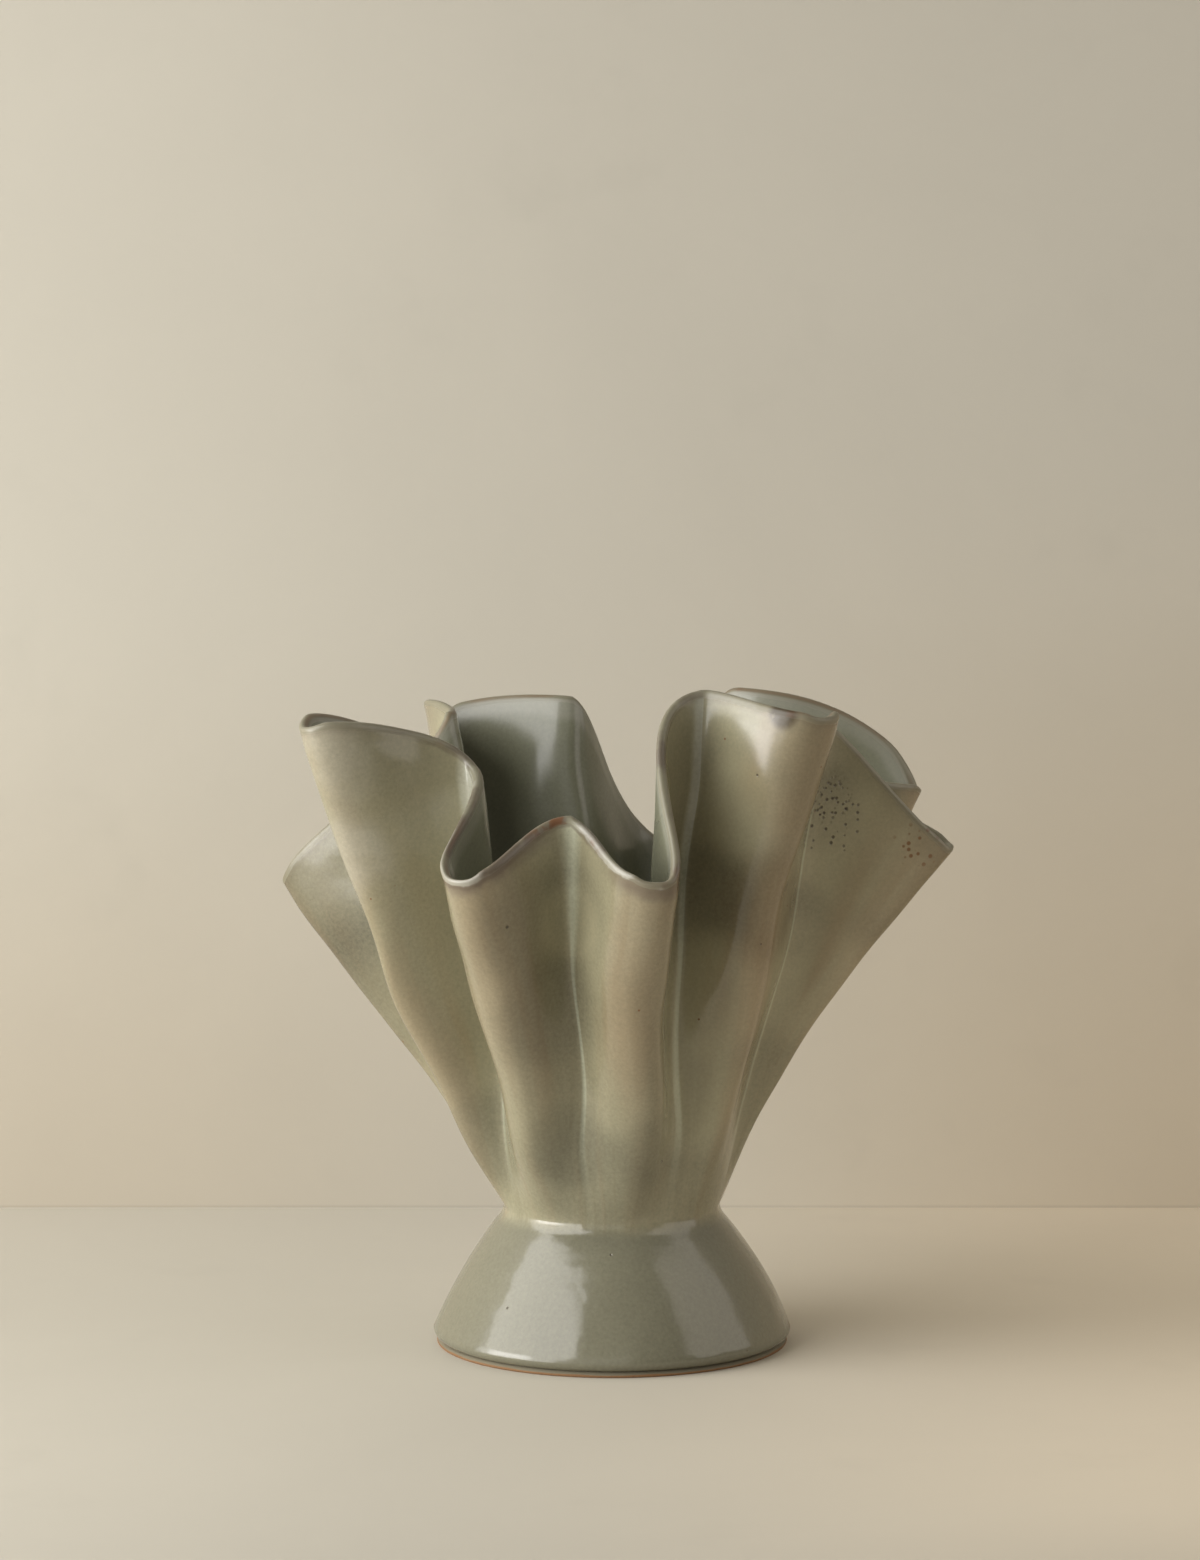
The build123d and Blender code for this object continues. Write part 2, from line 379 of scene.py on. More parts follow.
def wall_profile(sizes, column):
    """Skin of one column: up the foot and the pleat, over the lip, and down again inside."""
    half = sizes.wall / 2
    rise = rim_rise(sizes, column) - half
    waist_place = wall_line(sizes, column, 0)[0].normalized()
    flat = eased(waist_place.dot(polar(1, FLAT_SIDE_BEARING)))
    outside = foot_outside(sizes, sizes.foot_bulge + (sizes.flat_bulge - sizes.foot_bulge) * flat)

    def turned(radius, level, is_inside):
        skin = waist_place * radius + Vector((0, 0, level))
        return Station(skin, is_inside, rise, sizes.waist_radius)

    def from_valley(climb):
        span = fold_place(sizes, column.next_fold, climb) - fold_place(sizes, column.fold, climb)
        return span.length * (1 - math.acos(column.crest) / math.pi)

    def thickness(climb):
        full = eased((1 - climb) * rise / sizes.lip_taper)
        return half * (LIP_WALL_SHARE + (1 - LIP_WALL_SHARE) * full)

    def slab(climb, way, is_inside):
        middle, side = wall_line(sizes, column, climb)
        middle.z = sizes.waist_level + rise * climb
        skin = middle + side * (way * thickness(climb))
        return Station(skin, is_inside, (1 - climb) * rise, from_valley(climb))

    stations = [turned(*point, 0) for point in outside]
    shares = [step / CLIMB_STEPS_OUTSIDE for step in range(CLIMB_STEPS_OUTSIDE)]
    climbs_up = [1 - (1 - share) ** CLIMB_CROWDING for share in shares]
    climbs_down = [1 - step / CLIMB_STEPS_INSIDE for step in range(1, CLIMB_STEPS_INSIDE)]
    stations += [slab(climb, 1, 0) for climb in climbs_up]
    top, side = wall_line(sizes, column, 1)
    top.z = sizes.waist_level + rise
    below = wall_line(sizes, column, LIP_AIM_CLIMB)[0]
    below.z = sizes.waist_level + rise * LIP_AIM_CLIMB
    up = (top - below).normalized()
    for step in range(LIP_STEPS + 1):
        angle = math.pi * step / LIP_STEPS
        across = side * (math.cos(angle) * thickness(1))
        skin = top + across + up * (math.sin(angle) * half)
        stations.append(Station(skin, step / LIP_STEPS, 0, from_valley(1)))
    stations += [slab(climb, -1, 1) for climb in climbs_down]
    return stations + [turned(*point, 1) for point in foot_inside(sizes)]


def skin_rings(bm, count, rings, place):
    """Extrudes a circle of points through a number of rings, each point put in its place."""
    order = bm.verts.layers.int.new("column")
    verts = bmesh.ops.create_circle(bm, segments=count, radius=1)["verts"]
    for number, vert in enumerate(verts):
        vert[order] = number
    edges = list(bm.edges)
    first = edges
    for ring in range(rings):
        if ring:
            grown = bmesh.ops.extrude_edge_only(bm, edges=edges)["geom"]
            verts = [item for item in grown if isinstance(item, bmesh.types.BMVert)]
            edges = [item for item in grown if isinstance(item, bmesh.types.BMEdge)]
        for vert in verts:
            place(vert, vert[order], ring)
    bmesh.ops.bridge_loops(bm, edges=first + edges)


def stray(bm, bending, unevenness, low, high):
    """Bends the wall and moves its surface as hand work does, fading in between two levels."""
    below_lip = bm.verts.layers.float["lip"]
    noise.seed_set(BEND_SEED)
    bm.normal_update()
    for vert in bm.verts:
        bend = noise.noise_vector(vert.co * BEND_WAVES) * bending
        small_bend = noise.noise_vector(vert.co * SMALL_BEND_WAVES)
        bend += small_bend * (bending * eased(vert[below_lip] / SMALL_BEND_FADE))
        bend.z *= UPRIGHT_BEND_SHARE
        push = noise.noise(vert.co * BUMP_WAVES) * unevenness
        vert.co += (bend + vert.normal * push) * eased((vert.co.z - low) / (high - low))


def finished(bm, name, material, nodes):
    """The finished piece, in place of the solids that it stands for."""
    mesh = bpy.data.meshes.new(name)
    bm.to_mesh(mesh)
    bm.free()
    mesh.shade_smooth()
    mesh.set_sharp_from_angle(angle=math.radians(SHARP_ANGLE))
    mesh.materials.append(material)
    piece = bpy.data.objects.new(name, mesh)
    bpy.context.scene.collection.objects.link(piece)
    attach(piece, "root")
    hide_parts(*nodes)


class Value:
    """An output of a node that can be reckoned with."""

    def __init__(self, recipe, socket):
        self.recipe = recipe
        self.socket = socket

    def maths(self, operation, first, second):
        return self.recipe.node("ShaderNodeMath", {"operation": operation}, {0: first, 1: second})

    def __add__(self, other):
        return self.maths("ADD", self, other)

    __radd__ = __add__

    def __sub__(self, other):
        return self.maths("SUBTRACT", self, other)

    def __rsub__(self, other):
        return self.maths("SUBTRACT", other, self)

    def __mul__(self, other):
        return self.maths("MULTIPLY", self, other)

    __rmul__ = __mul__


class Recipe:
    """The node tree of a finish."""

    def __init__(self, name):
        self.material = bpy.data.materials.new(name)
        self.material.use_nodes = True
        self.tree = self.material.node_tree
        self.tree.nodes.clear()

    def node(self, kind, settings=None, inputs=None, output=0):
        """Adds a node with its settings, then the values or links of its sockets."""
        node = self.tree.nodes.new(kind)
        for key, setting in (settings or {}).items():
            setattr(node, key, setting)
        for key, value in (inputs or {}).items():
            if isinstance(value, Value):
                self.tree.links.new(value.socket, node.inputs[key])
            else:
                node.inputs[key].default_value = value
        return Value(self, node.outputs[output]) if node.outputs else None

    def attribute(self, name, output="Fac"):
        """What the piece's mesh says of each of its points."""
        return self.node("ShaderNodeAttribute", {"attribute_name": name}, output=output)

    def blend(self, share, first, second):
        """Colour between two colours."""
        settings = {"data_type": "RGBA"}
        return self.node("ShaderNodeMix", settings, {0: share, 6: first, 7: second}, output=2)

    def step(self, value, low, high):
        """0 below low and 1 above high, with a soft passage."""
        settings = {"interpolation_type": "SMOOTHSTEP"}
        return self.node(
            "ShaderNodeMapRange", settings, {"Value": value, "From Min": low, "From Max": high}
        )

    def grain(self, place, scale, detail=2, rough=0.5, distortion=0):
        """Noise from 0 to 1."""
        inputs = {
            "Vector": place,
            "Scale": scale,
            "Detail": detail,
            "Roughness": rough,
            "Distortion": distortion,
        }
        return self.node("ShaderNodeTexNoise", {}, inputs, output="Fac")

    def axis(self, place, name):
        """X, Y or Z of a place."""
        return self.node("ShaderNodeSeparateXYZ", {}, {0: place}, output=name)

    def stretched(self, place, scale):
        """A place with its axes stretched or squeezed."""
        return self.node("ShaderNodeVectorMath", {"operation": "MULTIPLY"}, {0: place, 1: scale})

    def shaded(self, shade, tone):
        """Colour made lighter or darker by a tone."""
        grey = self.node("ShaderNodeCombineColor", {}, {0: tone, 1: tone, 2: tone})
        settings = {"data_type": "RGBA", "blend_type": "MULTIPLY"}
        return self.node("ShaderNodeMix", settings, {0: 1, 6: shade, 7: grey}, output=2)

    def near(self, place, centre, radius):
        """1 at a point, fading to 0 at a radius from it."""
        settings = {"operation": "DISTANCE"}
        away = self.node("ShaderNodeVectorMath", settings, {0: place, 1: centre}, output="Value")
        return 1 - self.step(away, radius * 0.5, radius)

    def dots(self, place, scale, radius, rarity):
        """Scattered dots with a radius in cells, kept where a draw from 0 to 1 tops the rarity."""
        cells = {"Vector": place, "Scale": scale, "Randomness": 1}
        away = self.node("ShaderNodeTexVoronoi", {}, cells, output="Distance")
        draws = self.node("ShaderNodeTexVoronoi", {}, cells, output="Color")
        draw = self.node("ShaderNodeSeparateColor", {}, {0: draws}, output=0)
        round_dots = 1 - self.step(away, radius * 0.6, radius * 1.2)
        return round_dots * self.step(draw, rarity, rarity + 0.02)

    def surface(self, inputs, one_sided=False):
        """Closes the recipe with its shader; a one-sided surface is clear from behind."""
        shader = self.node("ShaderNodeBsdfPrincipled", {}, inputs)
        if one_sided:
            behind = self.node("ShaderNodeNewGeometry", output="Backfacing")
            clear = self.node("ShaderNodeBsdfTransparent")
            shader = self.node("ShaderNodeMixShader", {}, {0: behind, 1: shader, 2: clear})
        self.node("ShaderNodeOutputMaterial", {}, {"Surface": shader})
        return self.material


def paint(shown):
    """A colour as the shader takes it, from the colour as it shows."""
    return (*Color(shown).from_srgb_to_scene_linear(), 1)


def wall_spot(sizes, fold_number, share, climb):
    """Point on the outside of the wall, at a share of the way from a fold to the next."""
    next_fold = FOLD_SHARES[(fold_number + 1) % len(FOLD_SHARES)]
    column = Column(FOLD_SHARES[fold_number], next_fold, share, 0, 0)
    middle, side = wall_line(sizes, column, climb)
    middle.z = sizes.waist_level + rim_rise(sizes, column) * climb
    return middle + side * (sizes.wall / 2)


def glaze_finish(sizes, colours):
    """Glossy glaze: thin on crests, pooled in valleys, broken on the lip, bare at the foot, with
    painted shade, light, highlights and reflections.
    """
    glaze = Recipe("olive_glaze")
    place = glaze.node("ShaderNodeTexCoord", output="Object")
    flow = glaze.attribute("flow", "Vector")
    crest = glaze.attribute("crest")
    valley = glaze.attribute("valley")
    inside = glaze.attribute("inside")
    lip = glaze.attribute("lip")
    across = glaze.axis(place, "X")
    level = glaze.axis(place, "Z")

    def patches(spots):
        """Soft patches on the outside of the wall, each a fold, a share, a climb and a radius."""
        total = 0
        for fold, share, climb, radius in spots:
            total = glaze.near(place, wall_spot(sizes, fold, share, climb), radius) + total
        return total

    clouds = glaze.grain(place, 22, detail=4)
    blotch = glaze.grain(place, 260, detail=3)
    speckle = glaze.grain(place, 600, detail=3, rough=0.7)
    wide = glaze.stretched(flow, (1, 1, 1.3))
    runs = glaze.grain(wide, 5, detail=2, rough=0.5, distortion=0.5)
    narrow = glaze.stretched(flow, (1, 1, 0.5))
    fine_runs = glaze.grain(narrow, 17, detail=3, rough=0.55, distortion=0.6)

    # Less tan towards the left: partly grey-green glaze, partly a painted reflection, the cool sheen
    # on the side that faces the left lamp.
    left_grey_glaze_and_sheen = 1 - glaze.step(across, -0.115, -0.055)
    ridge = crest + (runs - 0.5) * 1.6 + (clouds - 0.5) * 0.7 - left_grey_glaze_and_sheen * 0.8
    body = glaze.blend(glaze.step(ridge, 0.0, 1.1), paint(colours.olive), paint(colours.thin))
    brown = glaze.step(runs * 0.7 + fine_runs * 0.3, 0.42, 0.62) * glaze.step(ridge, -0.5, 0.5)
    bronze = patches(((FRONT_RIGHT, 0, 0.88, 0.040), (FRONT_RIGHT, 0, 0.62, 0.036)))
    brown = brown * 0.45 + bronze * 0.35
    body = glaze.blend(brown, body, paint(colours.brown))
    broad = patches(((MIDDLE_VALLEY, 0, 1, 0.090), (FRONT_LEFT_VALLEY, 0, 0.92, 0.060)))
    pool = 1 - glaze.step(valley * (1 - broad * 0.6) + (fine_runs - 0.5) * 0.003, 0.0008, 0.0030)
    pool = pool * (1 - inside) * glaze.step(level, sizes.waist_level, 2 * sizes.waist_level)
    body = glaze.blend(pool * 0.85, body, paint(colours.pooled))
    # Painted highlights near the tops of two valleys and a painted reflection on the left crest, in
    # pale glaze.
    valley_top_highlight = patches(((FRONT_RIGHT_VALLEY, 0, 0.90, 0.055), (FRONT_LEFT_VALLEY, 0, 0.92, 0.050)))
    left_crest_reflection = patches(((FRONT_LEFT, 0, 0.95, 0.042), (FRONT_LEFT, 0, 0.72, 0.030)))
    painted_highlight = pool * valley_top_highlight * 0.5 + left_crest_reflection * glaze.step(clouds, 0.3, 0.6) * 0.3
    body = glaze.blend(painted_highlight, body, paint(colours.pale))
    low = (1 - glaze.step(level, 0.095, 0.165)) * glaze.step(clouds + fine_runs, 0.75, 1.15)
    body = glaze.blend(low * 0.12, body, paint(colours.pooled))
    foot = 1 - glaze.step(level + (clouds - 0.5) * 0.006, sizes.foot_top, sizes.waist_level)
    body = glaze.blend(foot, body, paint(colours.foot))
    body = glaze.blend(inside, body, paint(colours.inside))

    streaks = (runs - 0.5) * 0.30 + (fine_runs - 0.5) * 0.14
    # Painted shade: darker patches on the flanks of some pleats.
    painted_shade = patches(
        (
            (LEFT, 0.25, 0.88, 0.050),
            (LEFT, 0.30, 0.60, 0.050),
            (LEFT, 0.15, 0.90, 0.070),
            (FRONT_LEFT, 0.50, 0.15, 0.030),
            (FRONT_MID_LEFT, 0.50, 0.80, 0.036),
            (FRONT_MID_LEFT, 0.50, 0.55, 0.032),
            (FRONT_MID_LEFT, 0.60, 0.20, 0.026),
            (MIDDLE_VALLEY, 0.00, 0.10, 0.036),
            (FRONT_MID_RIGHT, 0.40, 0.20, 0.026),
            (FRONT_RIGHT_VALLEY, 0.38, 0.64, 0.026),
            (RIGHT_VALLEY, 0.14, 0.84, 0.026),
            (RIGHT_VALLEY, 0.14, 0.60, 0.024),
        )
    )
    # Painted shade: darker glaze beside the valleys low on the fan.
    hollow = (1 - glaze.step(valley, 0.004, 0.018)) * (1 - inside) * glaze.step(level, 0.10, 0.15)
    painted_shade = painted_shade * 0.20 + hollow * 0.10
    # Painted light: lighter patches on the flanks of some pleats.
    painted_light = patches(
        (
            (FRONT_RIGHT_VALLEY, 0.50, 0.80, 0.030),
            (FRONT_RIGHT_VALLEY, 0.50, 0.44, 0.036),
            (FRONT_RIGHT_VALLEY, 0.30, 0.24, 0.034),
            (MIDDLE_VALLEY, 0.00, 0.75, 0.024),
            (RIGHT_VALLEY, 0.50, 0.85, 0.040),
            (RIGHT_VALLEY, 0.50, 0.55, 0.040),
        )
    )
    # Tone: speckle, clouds and runs, less the painted shade, plus the painted light.
    tone = 0.72 + speckle * 0.50 + clouds * 0.20 + streaks * (1 - foot) - painted_shade + painted_light * 0.30
    body = glaze.shaded(body, tone)

    front_lip = patches(((MIDDLE_VALLEY, 0, 1, 0.110),))
    edge = 1 - glaze.step(lip + (blotch - 0.5) * 0.0010, 0.0002, 0.0014)
    shaded = patches(((FRONT_MID_LEFT, 0.30, 1, 0.040), (FRONT_MID_RIGHT, 0.05, 1, 0.036)))
    under = 1 - glaze.step(lip + (clouds - 0.5) * 0.012 + (blotch - 0.5) * 0.004, 0.0010, 0.0090)
    under = under * (1 - inside) * (glaze.step(crest, -0.8, 0.2) * 0.10 + shaded * 0.55)
    body = glaze.blend(under, body, paint(colours.mauve))
    dark_line = 1 - glaze.step(lip + (blotch - 0.5) * 0.002, 0.0018, 0.0032)
    dark_line = dark_line * glaze.step(lip, 0.0004, 0.0012) * (1 - inside)
    dark_line = dark_line * glaze.step(clouds, 0.40, 0.56) * (front_lip * 0.8 + 0.2)
    body = glaze.blend(dark_line * 0.55, body, paint(colours.mauve))
    body = glaze.blend(edge * 0.7, body, paint(colours.lip))
    turns = edge * glaze.step(glaze.grain(place, 48, detail=4), 0.46, 0.58) * front_lip
    body = glaze.blend(turns * 0.7, body, paint(colours.mauve))
    # Broken pale glaze along the lip, partly painted highlight: raised at three spots where the lip
    # catches the light.
    lip_highlight_spots = patches(
        (
            (FRONT_LEFT_VALLEY, 0.80, 1, 0.030),
            (MIDDLE_VALLEY, 0.50, 1, 0.034),
            (FRONT_RIGHT_VALLEY, 0.25, 1, 0.036),
        )
    )
    broken = glaze.step(glaze.grain(place, 34, detail=4) + lip_highlight_spots * 0.10, 0.58, 0.66)
    broken = broken * (1 - glaze.step(lip + (blotch - 0.5) * 0.003, 0.0002, 0.0014))
    broken = broken * (1 - glaze.step(inside, 0.30, 0.55)) * (front_lip * 0.75 + 0.25)
    body = glaze.blend(broken * 0.45, body, paint(colours.pale))
    # Painted reflection: a pale band inside, just below the lip.
    inner_rim_reflection = 1 - glaze.step(lip + (clouds - 0.5) * 0.012, 0.0040, 0.0090)
    inner_rim_reflection = inner_rim_reflection * glaze.step(inside, 0.85, 1)
    body = glaze.blend(inner_rim_reflection * 0.25, body, paint(colours.pale))
    rust_spots = glaze.step(glaze.grain(place, 95, detail=4), 0.50, 0.60)
    rust_grain = glaze.step(glaze.grain(place, 60, detail=5), 0.60, 0.72) * 0.4
    rusty = (rust_grain + rust_spots * patches(((MIDDLE_VALLEY, 0, 1, 0.026),))) * edge
    burnt = patches(((FRONT_RIGHT_VALLEY, 0.70, 0.995, 0.009),))
    burnt = burnt * glaze.step(blotch + clouds, 0.70, 0.95)
    body = glaze.blend(burnt * 0.8, body, paint(colours.pinhole))
    worn = glaze.step(inside, 0.50, 0.70) * (1 - glaze.step(inside, 0.80, 0.95))
    worn = worn * glaze.step(clouds, 0.48, 0.62)
    body = glaze.blend(rusty * 0.75 + worn * edge * 0.35, body, paint(colours.rust))

    pits = glaze.dots(place, 45, 0.032, 0.70)
    pits = pits + glaze.dots(place, 460, 0.36, 0.15) * patches(((RIGHT_VALLEY, 0.22, 0.87, 0.013),))
    pits = pits + glaze.dots(place, 330, 0.28, 0.55) * patches(((RIGHT_VALLEY, 0.26, 0.84, 0.024),))
    body = glaze.blend(pits * 0.8, body, paint(colours.pinhole))
    iron = glaze.dots(place, 300, 0.32, 0.30) * patches(((RIGHT_VALLEY, 0.73, 0.95, 0.014),))
    iron = iron + glaze.dots(place, 75, 0.045, 0.72)
    body = glaze.blend(iron * 0.8, body, paint(colours.rust))

    bare = 1 - glaze.step(level + (blotch - 0.5) * 0.0012, 0.0022, 0.0026)
    nick_level = Vector((0, 0, sizes.ring_height + sizes.foot_edge_round))
    for bearing in NICK_BEARINGS:
        centre = polar(sizes.foot_radius, bearing) + nick_level
        bare = bare + glaze.near(place, centre, 0.005) * glaze.step(blotch, 0.46, 0.56)
    body = glaze.blend(bare, body, paint(colours.clay))

    soft = patches(((FRONT_RIGHT_VALLEY, 0.5, 0.95, 0.090),))
    rough = 0.12 + clouds * 0.08 - pool * 0.05 + inside * 0.06 + edge * 0.18
    rough = rough + bare * 0.5 + pits * 0.2 + soft * 0.07
    waves = glaze.grain(place, 34, detail=1)
    ripples = glaze.grain(place, 170, detail=2)
    skin = waves * 0.0008 + ripples * 0.00006 + runs * (1 - foot) * 0.0006
    skin = skin + glaze.grain(place, 26, detail=3) * foot * 0.0011
    relief = glaze.node("ShaderNodeBump", {}, {"Distance": 1, "Height": skin - pits * 0.0003})
    return glaze.surface(
        {"Base Color": body, "Roughness": rough, "Normal": relief, "IOR": GLAZE_IOR}
    )


def clay_finish(colours):
    """Bare fired clay with grog, and the inside glaze where the floor shows in the vase."""
    clay = Recipe("bare_clay")
    place = clay.node("ShaderNodeTexCoord", output="Object")
    level = clay.axis(place, "Z")
    clouds = clay.grain(place, 40, detail=4)
    grog = clay.grain(place, 900, detail=3)
    tone = 0.74 + clouds * 0.26 + grog * 0.22
    body = clay.shaded(paint(colours.clay), tone)
    specks = clay.step(clay.grain(place, 500, detail=1), 0.66, 0.72)
    body = clay.blend(specks * 0.5, body, paint(colours.rust))
    glazed = clay.step(level, 0.0066, 0.0072)
    body = clay.blend(glazed, body, paint(colours.inside))
    ragged = clay.step(level + (clouds - 0.5) * 0.0014, 0.0010, 0.0014)
    ragged = ragged * (1 - clay.step(level, 0.0026, 0.0030))
    body = clay.blend(ragged * 0.85, body, paint(colours.foot))
    relief = clay.node("ShaderNodeBump", {}, {"Strength": 0.4, "Distance": 0.0003, "Height": grog})
    rough = 0.85 - glazed * 0.65
    return clay.surface({"Base Color": body, "Roughness": rough, "Normal": relief})


def plaster_finish(colours):
    """Pale plaster of the floor and the backdrop, with painted shade and painted light in places,
    clear from behind so that the back shows.
    """
    plaster = Recipe("plaster")
    place = plaster.node("ShaderNodeTexCoord", output="Object")
    clouds = plaster.grain(place, 3.5, detail=5, rough=0.6, distortion=0.6)
    smudges = plaster.step(plaster.grain(place, 11, detail=4, rough=0.6), 0.58, 0.76)
    across = plaster.axis(place, "X")
    level = plaster.axis(place, "Z")
    depth = plaster.axis(place, "Y")
    floor = 1 - plaster.step(level, 0.0001, 0.0002)
    # Painted shade: the backdrop darker just above its joint with the floor.
    joint_shade = (1 - floor) * (1 - plaster.step(level, 0.0006, 0.0022))
    tone = 0.95 + clouds * 0.12 - smudges * 0.035 - joint_shade * 0.12
    # The floor lighter overall, with painted light towards the backdrop.
    tone = tone + floor * (0.06 + plaster.step(depth, -0.6, -0.2) * 0.14)
    # Painted shade on the front right of the floor.
    corner = plaster.step(across, 0.05, 0.30) * (1 - plaster.step(depth, -0.6, -0.3))
    tone = tone - floor * corner * 0.34
    # Painted light: brighter, warmer plaster low on the right of the floor and backdrop.
    right_painted_light = plaster.step(across, -0.1, 0.3) * (1 - plaster.step(level, 0.02, 0.45))
    right_painted_light = right_painted_light * plaster.step(depth, -0.70, -0.25)
    body = plaster.blend(right_painted_light, paint(colours.plaster), paint(colours.painted_light_plaster))
    # Painted shade: darker, sandier plaster low on the left of the backdrop.
    left_painted_shade = (1 - plaster.step(across, -0.3, 0.1)) * (1 - plaster.step(level, 0.02, 0.35))
    left_painted_shade = left_painted_shade * (1 - floor)
    body = plaster.blend(left_painted_shade * 0.8, body, paint(colours.painted_shade_plaster))
    body = plaster.shaded(body, tone)
    return plaster.surface({"Base Color": body, "Roughness": 0.7}, one_sided=True)


class FANVASE_OT_wall(bpy.types.Operator):
    """Build the glazed wall: foot, crease, pleats, lip and inside in one skin"""

    bl_idname = "fanvase.wall"
    bl_label = "Glazed wall"

    def execute(self, context):
        sizes = context.scene.fan_vase_sizes
        columns = wall_columns()
        profiles = [wall_profile(sizes, column) for column in columns]
        bm = bmesh.new()
        crest = bm.verts.layers.float.new("crest")
        lip = bm.verts.layers.float.new("lip")
        valley = bm.verts.layers.float.new("valley")
        inner = bm.verts.layers.float.new("inside")
        flow = bm.verts.layers.float_vector.new("flow")

        def place(vert, number, ring):
            station, column = profiles[number][ring], columns[number]
            vert.co = station.place
            fade = eased((station.place.z - sizes.foot_top) / (2 * sizes.foot_top))
            vert[crest] = column.crest * fade
            vert[lip] = station.lip
            vert[valley] = station.valley
            vert[inner] = station.inside
            vert[flow] = Vector((math.cos(column.turn), math.sin(column.turn), station.place.z))

        skin_rings(bm, len(columns), len(profiles[0]), place)
        bmesh.ops.recalc_face_normals(bm, faces=bm.faces)
        stray(bm, sizes.bending, sizes.unevenness, sizes.foot_top, 2 * sizes.foot_top)
        finish = glaze_finish(sizes, context.scene.fan_vase_colours)
        finished(bm, "glazed_wall", finish, PLEATS + ["waist_coil", "foot_cone"])
        return {"FINISHED"}


def spun(bm, profile, steps):
    """Turns a closed or axis-to-axis profile all the way round Z."""
    verts = [bm.verts.new((radius, 0, level)) for radius, level in profile]
    edges = [bm.edges.new(pair) for pair in zip(verts, verts[1:])]
    if profile[0][0] > 0:
        edges.append(bm.edges.new((verts[-1], verts[0])))
    bmesh.ops.spin(
        bm,
        geom=verts + edges,
        cent=(0, 0, 0),
        axis=(0, 0, 1),
        angle=math.tau,
        steps=steps,
        use_merge=True,
    )
    bmesh.ops.remove_doubles(bm, verts=bm.verts, dist=MERGE_DISTANCE)
    bmesh.ops.recalc_face_normals(bm, faces=bm.faces)


class FANVASE_OT_ring(bpy.types.Operator):
    """Build the bare clay ring that the vase stands on"""

    bl_idname = "fanvase.ring"
    bl_label = "Bare ring"

    def execute(self, context):
        sizes = context.scene.fan_vase_sizes
        wear = sizes.ring_wear
        profile = [(sizes.floor_radius, 0)]
        for step in range(CREASE_STEPS + 1):
            angle = math.radians(90) * step / CREASE_STEPS
            profile.append(
                (sizes.ring_radius - wear + wear * math.sin(angle), wear - wear * math.cos(angle))
            )
        glaze_edge = sizes.foot_radius - GLAZE_EDGE_SHARE * sizes.foot_edge_round
        profile += [(sizes.ring_radius, sizes.ring_height / 3), (glaze_edge, sizes.ring_height)]
        profile.append((sizes.floor_radius, sizes.ring_height))
        bm = bmesh.new()
        spun(bm, profile, RING_SEGMENTS)
        finish = clay_finish(context.scene.fan_vase_colours)
        finished(bm, "bare_ring", finish, ["foot_ring"])
        return {"FINISHED"}


class FANVASE_OT_floor(bpy.types.Operator):
    """Build the floor disc, with turning marks underneath and a dished face inside"""

    bl_idname = "fanvase.floor"
    bl_label = "Floor disc"

    def execute(self, context):
        sizes = context.scene.fan_vase_sizes
        radii = [sizes.floor_radius * step / FLOOR_STEPS for step in range(FLOOR_STEPS + 1)]
        marks = [MARK_DEPTH * (1 - math.cos(radius / MARK_SPACING)) for radius in radii]
        dishes = [DISH_DEPTH * math.cos(radius / DISH_SPACING) ** 2 for radius in radii]
        under = list(zip(radii, marks))
        over = [(radius, sizes.floor_level - dish) for radius, dish in zip(radii, dishes)]
        under[-1] = (sizes.floor_radius, 0)
        over[-1] = (sizes.floor_radius, sizes.floor_level)
        bm = bmesh.new()
        spun(bm, under + over[::-1], FLOOR_SEGMENTS)
        finish = clay_finish(context.scene.fan_vase_colours)
        finished(bm, "floor_disc", finish, ["base_slab"])
        return {"FINISHED"}


def soft_box(name, place, target, width, height, power, tint):
    """Soft rectangular lamp that faces a point."""
    lamp = bpy.data.lights.new(name, "AREA")
    lamp.shape = "RECTANGLE"
    lamp.size = width
    lamp.size_y = height
    lamp.energy = power
    lamp.color = tint
    box = bpy.data.objects.new(name, lamp)
    box.location = place
    box.rotation_euler = (Vector(target) - Vector(place)).to_track_quat("-Z", "Y").to_euler()
    bpy.context.scene.collection.objects.link(box)


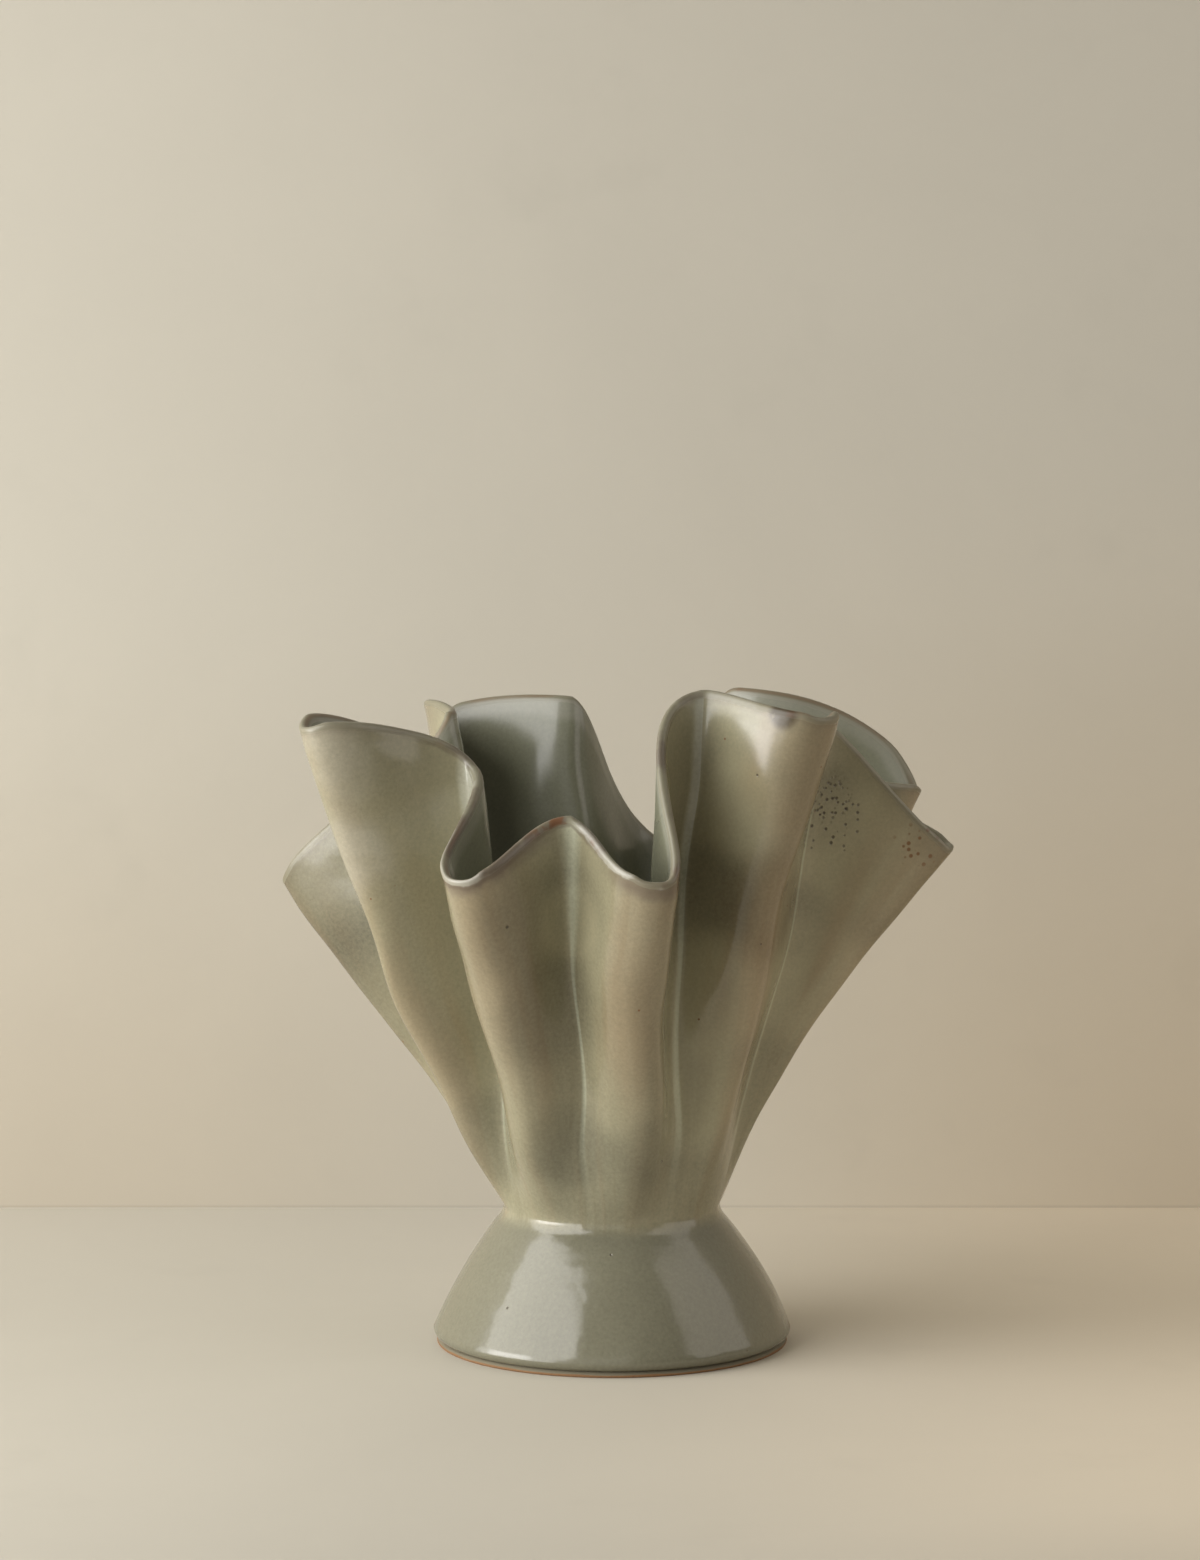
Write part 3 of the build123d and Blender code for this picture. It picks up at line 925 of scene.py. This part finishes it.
class FANVASE_OT_stage(bpy.types.Operator):
    """Build the floor, the backdrop, the lamps and the camera"""

    bl_idname = "fanvase.stage"
    bl_label = "Stage"

    def execute(self, context):
        scene = context.scene
        bm = bmesh.new()
        bmesh.ops.create_grid(bm, x_segments=1, y_segments=1, size=STAGE_REACH)
        bmesh.ops.translate(bm, verts=bm.verts, vec=(0, BACKDROP_DEPTH - STAGE_REACH, 0))
        back = [edge for edge in bm.edges if all(vert.co.y > 0 for vert in edge.verts)]
        for reach in ((0, 0, STAGE_REACH), (0, STAGE_REACH, 0)):
            grown = bmesh.ops.extrude_edge_only(bm, edges=back)["geom"]
            moved = [item for item in grown if isinstance(item, bmesh.types.BMVert)]
            bmesh.ops.translate(bm, verts=moved, vec=reach)
        for face in bm.faces:
            face.normal_update()
            if face.normal.dot(Vector((0, -1, 1))) < 0:
                face.normal_flip()
        mesh = bpy.data.meshes.new("backdrop")
        bm.to_mesh(mesh)
        bm.free()
        mesh.materials.append(plaster_finish(scene.fan_vase_colours))
        backdrop = bpy.data.objects.new("backdrop", mesh)
        scene.collection.objects.link(backdrop)

        for lamp in LAMPS:
            soft_box(*lamp)
        world = bpy.data.worlds.new("room")
        world.use_nodes = True
        ground = world.node_tree.nodes["Background"]
        ground.inputs["Color"].default_value = ROOM_TINT
        ground.inputs["Strength"].default_value = ROOM_STRENGTH
        scene.world = world
        scene.view_settings.view_transform = "Standard"

        camera = bpy.data.objects.new("camera", bpy.data.cameras.new("camera"))
        camera.location = CAMERA_PLACE
        camera.rotation_euler = (math.radians(CAMERA_TILT), 0, 0)
        camera.data.sensor_width = SENSOR_WIDTH
        camera.data.lens = CAMERA_LENS
        scene.collection.objects.link(camera)
        scene.camera = camera
        return {"FINISHED"}


class FANVASE_PT_panel(bpy.types.Panel):
    """Pieces, sizes and colours of the vase"""

    bl_idname = "FANVASE_PT_panel"
    bl_label = "Fan vase"
    bl_space_type = "VIEW_3D"
    bl_region_type = "UI"
    bl_category = "Fan vase"

    def draw(self, context):
        layout = self.layout
        for operator in OPERATORS:
            layout.operator(operator.bl_idname)
        for group in (context.scene.fan_vase_sizes, context.scene.fan_vase_colours):
            box = layout.box()
            for name in group.bl_rna.properties.keys():
                if name not in {"rna_type", "name"}:
                    box.prop(group, name)


OPERATORS = (FANVASE_OT_stage, FANVASE_OT_wall, FANVASE_OT_ring, FANVASE_OT_floor)
CLASSES = (FanVaseSizes, FanVaseColours, *OPERATORS, FANVASE_PT_panel)


def register():
    for item in CLASSES:
        bpy.utils.register_class(item)
    bpy.types.Scene.fan_vase_sizes = bpy.props.PointerProperty(type=FanVaseSizes)
    bpy.types.Scene.fan_vase_colours = bpy.props.PointerProperty(type=FanVaseColours)


def unregister():
    del bpy.types.Scene.fan_vase_colours
    del bpy.types.Scene.fan_vase_sizes
    for item in reversed(CLASSES):
        bpy.utils.unregister_class(item)


def main():
    register()
    bpy.ops.fanvase.stage()
    bpy.ops.fanvase.wall()
    bpy.ops.fanvase.ring()
    bpy.ops.fanvase.floor()


if __name__ == "__main__":
    main()
